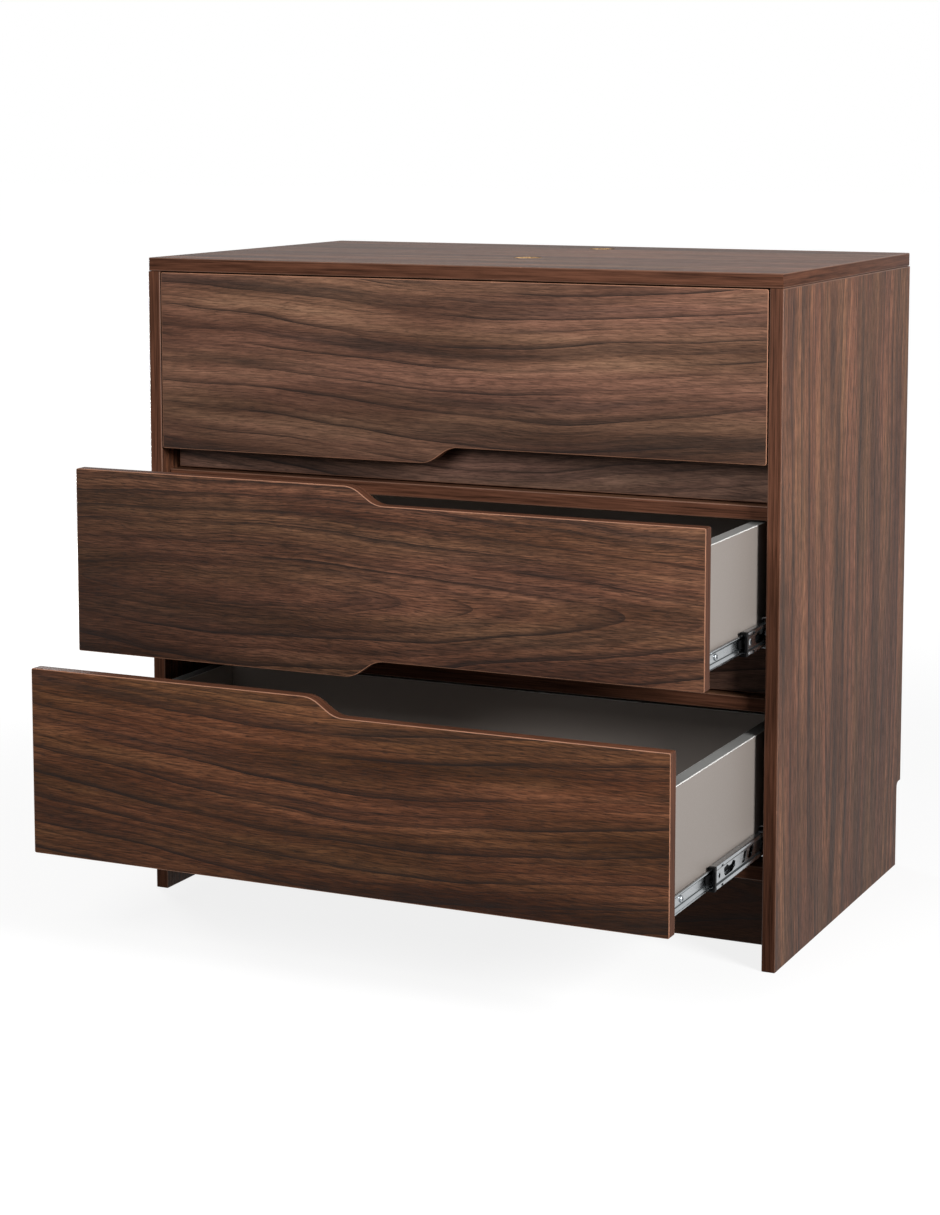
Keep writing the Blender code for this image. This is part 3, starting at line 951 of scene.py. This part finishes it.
def add_board(node, shape, finishes, cutters=(), form="board"):
    """A board in the place of its node, with its grooves and holes cut and its grain laid."""
    item = add_item(f"{node}_{form}", shape, finishes)
    if cutters:
        carve(item, cutters, RAW)
    stand_for(lay_grain(item, FIGURES.get(node, NO_FIGURE)), node)


def add_moulding(node, shape, cutters):
    """A plastic piece in the place of its node, with its wells or its notch cut."""
    item = carve(add_item(f"{node}_moulding", shape, (black_plastic(),)), cutters, FACE)
    stand_for(shade(item), node)


def grip_curve(low, rises):
    """The S from the left level to the right one, left to right: two arcs joined by a straight ramp."""
    boards = bpy.context.scene.chest_boards
    steep = boards.grip_angle
    radius = boards.grip_radius
    rise_of_arc = radius * (1 - math.cos(steep))
    ramp_run = (boards.grip_step - 2 * rise_of_arc) / math.tan(steep)
    half_run = radius * math.sin(steep) + ramp_run / 2
    foot = arc((-half_run, radius), radius, -QUARTER_TURN, steep - QUARTER_TURN, ARC_STEPS)
    head_centre = (half_run, boards.grip_step - radius)
    head = arc(head_centre, radius, QUARTER_TURN + steep, QUARTER_TURN, ARC_STEPS)
    curve = foot + head
    if not rises:
        curve = [(-x, z) for x, z in reversed(curve)]
    return [(boards.grip_centre + x, low + z) for x, z in curve]


def front_outline(low, high, grip_above, grip_below):
    """A drawer front seen from the front, anticlockwise from its lower left corner."""
    boards = bpy.context.scene.chest_boards
    radius = boards.front_corner
    right_bottom = low.z + (boards.grip_step if grip_below else 0.0)
    right_top = high.z - (boards.grip_step if grip_above else 0.0)

    def corner(x, z, start):
        return arc((x, z), radius, start, start + QUARTER_TURN, CORNER_STEPS)

    points = corner(low.x + radius, low.z + radius, 2 * QUARTER_TURN)
    if grip_below:
        points += grip_curve(low.z, True)
    points += corner(high.x - radius, right_bottom + radius, 3 * QUARTER_TURN)
    points += corner(high.x - radius, right_top - radius, 0.0)
    if grip_above:
        points += list(reversed(grip_curve(right_top, False)))
    points += corner(low.x + radius, high.z - radius, QUARTER_TURN)
    return points


def side_outline(low, high):
    """A side panel seen from its side, with the skirting notch at the foot of its back edge."""
    boards = bpy.context.scene.chest_boards
    notch = high.y - boards.notch_depth
    radius = boards.notch_radius
    centre = (notch + radius, boards.notch_height - radius)
    inner = arc(centre, radius, 2 * QUARTER_TURN, QUARTER_TURN, CORNER_STEPS)
    foot = [(low.y, low.z), (notch, low.z)]
    return foot + inner + [(high.y, boards.notch_height), (high.y, high.z), (low.y, high.z)]


def groove_for(node):
    """The groove that holds a thin sheet: the sheet's box with a little room all round."""
    low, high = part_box(node)
    play = Vector((1.0, 1.0, 1.0)) * bpy.context.scene.chest_boards.groove_play
    return low - play, high + play


class SlidePlace:
    """Where one slide sits: its side of the chest, the drawer side's face and the height of its axis."""

    def __init__(self, number, side, sign):
        self.stem = f"slide_{number}_{side}"
        self.sign = sign
        box_low, box_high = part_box(f"drawer_{number}_side_{side}")
        self.face = box_high.x if sign > 0 else box_low.x
        low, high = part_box(f"{self.stem}_cabinet_member")
        self.axis = (low.z + high.z) / 2

    def span(self, kind):
        """Front and back end of one of the slide's members."""
        low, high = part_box(f"{self.stem}_{kind}")
        return low.y, high.y

    def at(self, across, y, up):
        return Vector((self.face + self.sign * across, y, self.axis + up))

    def section(self, points):
        """Points across from the drawer's side and up from the axis, as X and Z of the frame."""
        return [(self.face + self.sign * across, self.axis + up) for across, up in points]


def all_slides():
    return [SlidePlace(number, side, sign) for number in DRAWERS for side, sign in SIDES]


def web_of(line):
    """How far a member's web lies from the drawer's side."""
    return line[-1][0] * MILLIMETRE


def steel_member(slide, kind, line):
    """A length of bent sheet steel along one of the slide's lines, rougher in the bend beside its web and
    darkened there with painted shade.
    """
    hardware = bpy.context.scene.chest_hardware
    outline = slide.section(sheet_outline(line, hardware.steel, hardware.bend))
    shape = prism_shape(outline, Y, *slide.span(kind))
    # Faces round the bend beside the web get the steel darkened with painted shade.
    painted_bend_shade = line[-1][1] * MILLIMETRE
    for face in shape.faces:
        up = abs(face.calc_center_median().z - slide.axis)
        face.material_index = PAINTED_BEND_SHADE if abs(up - painted_bend_shade) < hardware.painted_bend_shade else SHEET
    return shape


def slide_prism(slide, outline, front, through):
    """A prism across a slide, from an outline and two ends in millimetres."""
    start, end = (slide.at(across * MILLIMETRE, front, 0.0).x for across in through)
    points = [(front + back * MILLIMETRE, slide.axis + up * MILLIMETRE) for back, up in outline]
    return prism_shape(points, X, start, end)


def screw_head(radius, height):
    """A pan head with a cross recess, its seat at the origin and its crown along +X."""
    profile = [(rise * height, wide * radius) for rise, wide in SCREW_PROFILE]
    head = add_item("screw_head", turned_shape(profile), (screw_steel(),))
    arm = RECESS_ARM * radius
    width = RECESS_WIDTH * radius
    floor = RECESS_FLOOR * height
    recess = [
        board_shape(Vector((floor, -half_y, -half_z)), Vector((2.0 * height, half_y, half_z)))
        for half_y, half_z in ((arm, width), (width, arm))
    ]
    carve(head, recess, SHEET)
    mesh = head.data
    bpy.data.objects.remove(head, do_unlink=True)
    return mesh


def add_screws(name, head, places, facing, body):
    """One object with a screw head at each place, all facing the same way."""
    turn = Vector((1.0, 0.0, 0.0)).rotation_difference(Vector(facing)).to_matrix().to_4x4()
    shape = bmesh.new()
    for at in places:
        known = set(shape.verts)
        shape.from_mesh(head)
        fresh = [point for point in shape.verts if point not in known]
        bmesh.ops.transform(shape, matrix=Matrix.Translation(at) @ turn, verts=fresh)
    item = shade(add_item(name, shape, (screw_steel(),)))
    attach(item, body)


# Operators

class CHEST_OT_side_panels(Operator):
    """Makes the two side panels, with their skirting notches and the grooves for the back"""

    bl_idname = "chest.side_panels"
    bl_label = "Side panels"

    def execute(self, context):
        boards = context.scene.chest_boards
        for side, _ in SIDES:
            node = f"side_panel_{side}"
            low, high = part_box(node)
            shape = soften(prism_shape(side_outline(low, high), X, low.x, high.x), boards.carcass_arris)
            groove_low, groove_high = groove_for("back_panel")
            groove_low.z -= boards.notch_radius
            groove = board_shape(groove_low, groove_high)
            add_board(node, shape, walnut_board(node, "arris_soft"), [groove])
        return {"FINISHED"}


class CHEST_OT_top_panel(Operator):
    """Makes the top, with its two round holes and the groove for the back"""

    bl_idname = "chest.top_panel"
    bl_label = "Top panel"

    def execute(self, context):
        boards = context.scene.chest_boards
        node = "top_panel"
        low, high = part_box(node)
        thickness = high.z - low.z
        shape = soften(board_shape(low, high), boards.carcass_arris)
        cutters = [board_shape(*groove_for("back_panel"))]
        for y in (low.y + boards.hole_from_front, high.y - boards.hole_from_back):
            hole = circle((boards.hole_side, y), boards.hole_diameter / 2, HOLE_SIDES)
            cutters.append(prism_shape(hole, Z, low.z - thickness, high.z + thickness))
        add_board(node, shape, walnut_board(node, "arris_soft"), cutters)
        return {"FINISHED"}


class CHEST_OT_inner_boards(Operator):
    """Makes the bottom, the plinths, the rails and the recess panels"""

    bl_idname = "chest.inner_boards"
    bl_label = "Inner boards"

    def execute(self, context):
        for node in INNER_BOARDS:
            shape = soften(board_shape(*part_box(node)), context.scene.chest_boards.carcass_arris)
            add_board(node, shape, walnut_board(node, "arris_soft"))
        return {"FINISHED"}


class CHEST_OT_back_panel(Operator):
    """Makes the thin hardboard back"""

    bl_idname = "chest.back_panel"
    bl_label = "Back panel"

    def execute(self, context):
        shape = soften(board_shape(*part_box("back_panel")), context.scene.chest_boards.groove_play)
        hardboard = finish("hardboard_back", hardboard_finish, colours().hardboard)
        item = add_item("back_panel_sheet", shape, (hardboard,))
        stand_for(shade(item), "back_panel")
        return {"FINISHED"}


class CHEST_OT_corner_blocks(Operator):
    """Makes the plastic blocks that hold the recess panels on the rails, with their screw wells"""

    bl_idname = "chest.corner_blocks"
    bl_label = "Corner blocks"

    def execute(self, context):
        hardware = context.scene.chest_hardware
        radius = hardware.block_well
        for node in BLOCKS:
            low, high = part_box(node)
            middle = (low + high) / 2
            shape = soften(board_shape(low, high), hardware.block_arris)
            upright = circle((middle.x, middle.y), radius, SCREW_SIDES)
            level = circle((middle.x, middle.z), radius, SCREW_SIDES)
            wells = [
                prism_shape(upright, Z, middle.z, high.z + radius),
                prism_shape(level, Y, middle.y, high.y + radius),
            ]
            add_moulding(node, shape, wells)
        return {"FINISHED"}


class CHEST_OT_drawer_fronts(Operator):
    """Makes the three drawer fronts with their S-shaped finger grips"""

    bl_idname = "chest.drawer_fronts"
    bl_label = "Drawer fronts"

    def execute(self, context):
        for number in DRAWERS:
            node = f"drawer_{number}_front"
            low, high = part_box(node)
            outline = front_outline(low, high, number > DRAWERS[0], number < DRAWERS[-1])
            shape = soften(prism_shape(outline, Y, low.y, high.y), context.scene.chest_boards.front_arris)
            add_board(node, shape, walnut_board(node, "arris_bright"))
        return {"FINISHED"}


class CHEST_OT_drawer_boxes(Operator):
    """Makes the grey drawer boxes: grooved boards on four sides and a thin bottom"""

    bl_idname = "chest.drawer_boxes"
    bl_label = "Drawer boxes"

    def execute(self, context):
        boards = context.scene.chest_boards
        for number in DRAWERS:
            bottom = f"drawer_{number}_bottom"
            for piece in ("side_left", "side_right", "box_front", "back"):
                node = f"drawer_{number}_{piece}"
                shape = soften(board_shape(*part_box(node)), boards.box_arris)
                groove = board_shape(*groove_for(bottom))
                add_board(node, shape, grey_board(), [groove])
            shape = soften(board_shape(*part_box(bottom)), boards.groove_play)
            add_board(bottom, shape, grey_board(), form="sheet")
        return {"FINISHED"}


class CHEST_OT_slides(Operator):
    """Makes the steel members of the six telescopic slides"""

    bl_idname = "chest.slides"
    bl_label = "Slides"

    def execute(self, context):
        hardware = context.scene.chest_hardware
        for slide in all_slides():
            for kind, line in MEMBER_LINES.items():
                node = f"{slide.stem}_{kind}"
                shape = steel_member(slide, kind, line)
                item = add_item(f"{node}_steel", shape, (zinc_steel(), painted_bend_shade_steel()))
                if kind == "middle_member":
                    front, _ = slide.span("bumper")
                    self.open_web(slide, item, hardware, front)
                    self.add_rivet(slide, item, hardware, front)
                stand_for(shade(item), node)
        return {"FINISHED"}

    def open_web(self, slide, item, hardware, front):
        """Cuts the openings and the rivet's hole through the middle member's web."""
        hole = circle((RIVET_BACK, 0.0), hardware.rivet_bore / MILLIMETRE, SCREW_SIDES)
        openings = (*MIDDLE_SLOTS, hole)
        carve(item, [slide_prism(slide, outline, front, SLOT_THROUGH) for outline in openings], SHEET)

    def add_rivet(self, slide, item, hardware, front):
        """Sets a hollow rivet on the middle member's web."""
        height = hardware.rivet_height
        bore = hardware.rivet_bore
        crown = [(rise * height, wide * hardware.rivet_radius) for rise, wide in RIVET_PROFILE]
        rivet = turned_shape([(0.0, bore), *crown, (height, bore), (0.0, bore)])
        turn = Matrix.Rotation(0.0 if slide.sign > 0 else math.pi, 4, "Z")
        seat = slide.at(web_of(MIDDLE_LINE) + hardware.steel / 2, front + RIVET_BACK * MILLIMETRE, 0.0)
        bmesh.ops.transform(rivet, matrix=Matrix.Translation(seat) @ turn, verts=rivet.verts)
        rivet.from_mesh(item.data)
        rivet.to_mesh(item.data)
        rivet.free()


class CHEST_OT_slide_plastics(Operator):
    """Makes the black bumpers and release levers of the slides"""

    bl_idname = "chest.slide_plastics"
    bl_label = "Slide plastics"

    def execute(self, context):
        hardware = context.scene.chest_hardware
        for slide in all_slides():
            self.make_bumper(slide, hardware)
            self.make_lever(slide, hardware)
        return {"FINISHED"}

    def make_bumper(self, slide, hardware):
        """The cap on the middle member's front end: a web between two thick ears."""
        node = f"{slide.stem}_bumper"
        low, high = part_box(node)
        edge, outer = sorted(abs(x - slide.face) for x in (low.x, high.x))
        top = high.z - slide.axis
        ear = hardware.bumper_ear
        web = outer - hardware.bumper_web
        race = top - ear
        outline = (
            (edge, top), (outer, top), (outer, -top), (edge, -top),
            (edge, -race), (web, -race), (web, race), (edge, race),
        )
        shape = soften(prism_shape(slide.section(outline), Y, low.y, high.y), hardware.plastic_arris)
        half = race - ear
        gap = ((web - ear, -half), (outer + ear, -half), (outer + ear, half), (web - ear, half))
        notch = prism_shape(slide.section(gap), Y, low.y - ear, low.y + hardware.bumper_notch)
        add_moulding(node, shape, [notch])

    def make_lever(self, slide, hardware):
        """The release lever that lies in the drawer member's channel."""
        front, _ = slide.span("drawer_member")
        shape = slide_prism(slide, LEVER_OUTLINE, front, LEVER_ACROSS)
        item = add_item(f"{slide.stem}_lever", soften(shape, hardware.plastic_arris), (black_plastic(),))
        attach(shade(item), frame["nodes"][f"{slide.stem}_drawer_member"]["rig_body"])


class CHEST_OT_fasteners(Operator):
    """Makes the screws of the slides, the drawer fronts and the corner blocks"""

    bl_idname = "chest.fasteners"
    bl_label = "Fasteners"

    def execute(self, context):
        hardware = context.scene.chest_hardware
        small = screw_head(hardware.slide_screw, hardware.slide_screw_height)
        medium = screw_head(hardware.slide_screw, hardware.drawer_screw_height)
        large = screw_head(hardware.box_screw, hardware.box_screw_height)
        half_steel = hardware.steel / 2
        groups = (
            ("drawer_member", medium, web_of(DRAWER_LINE) + half_steel, DRAWER_SCREWS_BACK, 1),
            ("cabinet_member", small, web_of(CABINET_LINE) - half_steel, CABINET_SCREWS_BACK, -1),
        )
        for slide in all_slides():
            for kind, head, across, backs, outward in groups:
                front, _ = slide.span(kind)
                places = [slide.at(across, front + back, 0.0) for back in backs]
                facing = (slide.sign * outward, 0.0, 0.0)
                body = frame["nodes"][f"{slide.stem}_{kind}"]["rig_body"]
                add_screws(f"{slide.stem}_{kind}_screws", head, places, facing, body)
        for number in DRAWERS:
            low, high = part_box(f"drawer_{number}_box_front")
            middle = (low + high) / 2
            half = (high.x - low.x) / 2
            places = [Vector((middle.x + gone * half, high.y, middle.z)) for gone in FRONT_SCREW_SHARES]
            add_screws(f"drawer_{number}_front_screws", large, places, (0.0, 1.0, 0.0), f"drawer_{number}")
        middles = [(low + high) / 2 for low, high in map(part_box, BLOCKS)]
        add_screws("corner_block_upright_screws", small, middles, (0.0, 0.0, 1.0), "carcass")
        add_screws("corner_block_level_screws", small, middles, (0.0, 1.0, 0.0), "carcass")
        for head in (small, medium, large):
            bpy.data.meshes.remove(head)
        return {"FINISHED"}


class CHEST_OT_stage(Operator):
    """Sets up the camera, the soft lights, the white surroundings and the floor"""

    bl_idname = "chest.stage"
    bl_label = "Studio stage"

    def execute(self, context):
        studio = context.scene.chest_studio
        context.scene.view_settings.view_transform = "Standard"
        self.add_camera(context, studio)
        for name, *_ in LIGHTS:
            self.add_light(context, studio, name)
        self.set_world(context, studio)
        self.add_floor(context, studio)
        return {"FINISHED"}

    def add_camera(self, context, studio):
        level = math.cos(studio.elevation)
        right = math.sin(studio.azimuth) * level
        forward = math.cos(studio.azimuth) * level
        back = Vector((right, -forward, math.sin(studio.elevation)))
        data = bpy.data.cameras.new("camera")
        data.lens = studio.lens
        data.shift_y = studio.shift_up
        camera = bpy.data.objects.new("camera", data)
        camera.location = studio.eye
        camera.rotation_euler = (-back).to_track_quat("-Z", "Y").to_euler()
        context.scene.collection.objects.link(camera)
        context.scene.camera = camera

    def add_light(self, context, studio, name):
        data = bpy.data.lights.new(f"{name}_light", "AREA")
        data.energy = getattr(studio, f"{name}_power")
        data.size = getattr(studio, f"{name}_size")
        light = bpy.data.objects.new(f"{name}_light", data)
        light.location = getattr(studio, f"{name}_place")
        facing = Vector(studio.aim) - light.location
        light.rotation_euler = facing.to_track_quat("-Z", "Y").to_euler()
        context.scene.collection.objects.link(light)

    def set_world(self, context, studio):
        """White where it is seen, and a level light on everything else."""
        world = bpy.data.worlds.new("white_surroundings")
        world.use_nodes = True
        sketch = NodeSketch(world.node_tree)
        background = sketch.nodes["Background"]
        background.inputs["Color"].default_value = rgba(WHITE)
        strength = sketch.math("MULTIPLY_ADD", sketch.seen(), 1.0 - studio.surround, studio.surround)
        sketch.feed(background.inputs["Strength"], strength)
        context.scene.world = world

    def add_floor(self, context, studio):
        """A pale floor that keeps the chest's shadow and turns white further off."""
        half = studio.floor_size / 2
        shape = bmesh.new()
        bmesh.ops.create_grid(shape, x_segments=1, y_segments=1, size=half)
        material = bpy.data.materials.new("pale_floor")
        material.use_nodes = True
        sketch = NodeSketch(material.node_tree)
        sketch.nodes.remove(sketch.nodes["Principled BSDF"])
        away = sketch.vector("LENGTH", sketch.node("ShaderNodeNewGeometry").outputs["Position"])
        fade = sketch.step(away.outputs["Value"], (studio.fade_start, studio.fade_end))
        glow = sketch.remap(fade, (0.0, 1.0), (studio.floor_glow, 1.0))
        plain = sketch.node("ShaderNodeBsdfDiffuse", rgba(colours().floor))
        brightness = sketch.math("MULTIPLY", glow, sketch.seen())
        lit = sketch.node("ShaderNodeEmission", rgba(WHITE), brightness)
        both = sketch.node("ShaderNodeAddShader", plain.outputs[0], lit.outputs[0])
        sketch.links.new(both.outputs[0], sketch.nodes["Material Output"].inputs["Surface"])
        add_item("studio_floor", shape, (material,))


class CHEST_PT_sidebar(Panel):
    """Lists the chest's settings and its pieces"""

    bl_idname = "CHEST_PT_sidebar"
    bl_label = "Walnut chest"
    bl_space_type = "VIEW_3D"
    bl_region_type = "UI"
    bl_category = "Chest"

    def draw(self, context):
        for name, group in SETTINGS.items():
            box = self.layout.box()
            box.label(text=group.__doc__)
            settings = getattr(context.scene, name)
            for setting in group.__annotations__:
                box.prop(settings, setting)
        for operator in OPERATORS:
            self.layout.operator(operator.bl_idname)


SETTINGS = {
    "chest_boards": ChestBoards,
    "chest_figure": ChestFigure,
    "chest_colours": ChestColours,
    "chest_hardware": ChestHardware,
    "chest_studio": ChestStudio,
}
OPERATORS = (
    CHEST_OT_stage,
    CHEST_OT_side_panels,
    CHEST_OT_top_panel,
    CHEST_OT_inner_boards,
    CHEST_OT_back_panel,
    CHEST_OT_corner_blocks,
    CHEST_OT_drawer_fronts,
    CHEST_OT_drawer_boxes,
    CHEST_OT_slides,
    CHEST_OT_slide_plastics,
    CHEST_OT_fasteners,
)


def register():
    for cls in (*SETTINGS.values(), *OPERATORS, CHEST_PT_sidebar):
        bpy.utils.register_class(cls)
    for name, group in SETTINGS.items():
        setattr(bpy.types.Scene, name, PointerProperty(type=group))


def unregister():
    for name in SETTINGS:
        delattr(bpy.types.Scene, name)
    for cls in reversed((*SETTINGS.values(), *OPERATORS, CHEST_PT_sidebar)):
        bpy.utils.unregister_class(cls)


def main():
    register()
    bpy.ops.chest.stage()
    bpy.ops.chest.side_panels()
    bpy.ops.chest.top_panel()
    bpy.ops.chest.inner_boards()
    bpy.ops.chest.back_panel()
    bpy.ops.chest.corner_blocks()
    bpy.ops.chest.drawer_fronts()
    bpy.ops.chest.drawer_boxes()
    bpy.ops.chest.slides()
    bpy.ops.chest.slide_plastics()
    bpy.ops.chest.fasteners()


if __name__ == "__main__":
    main()
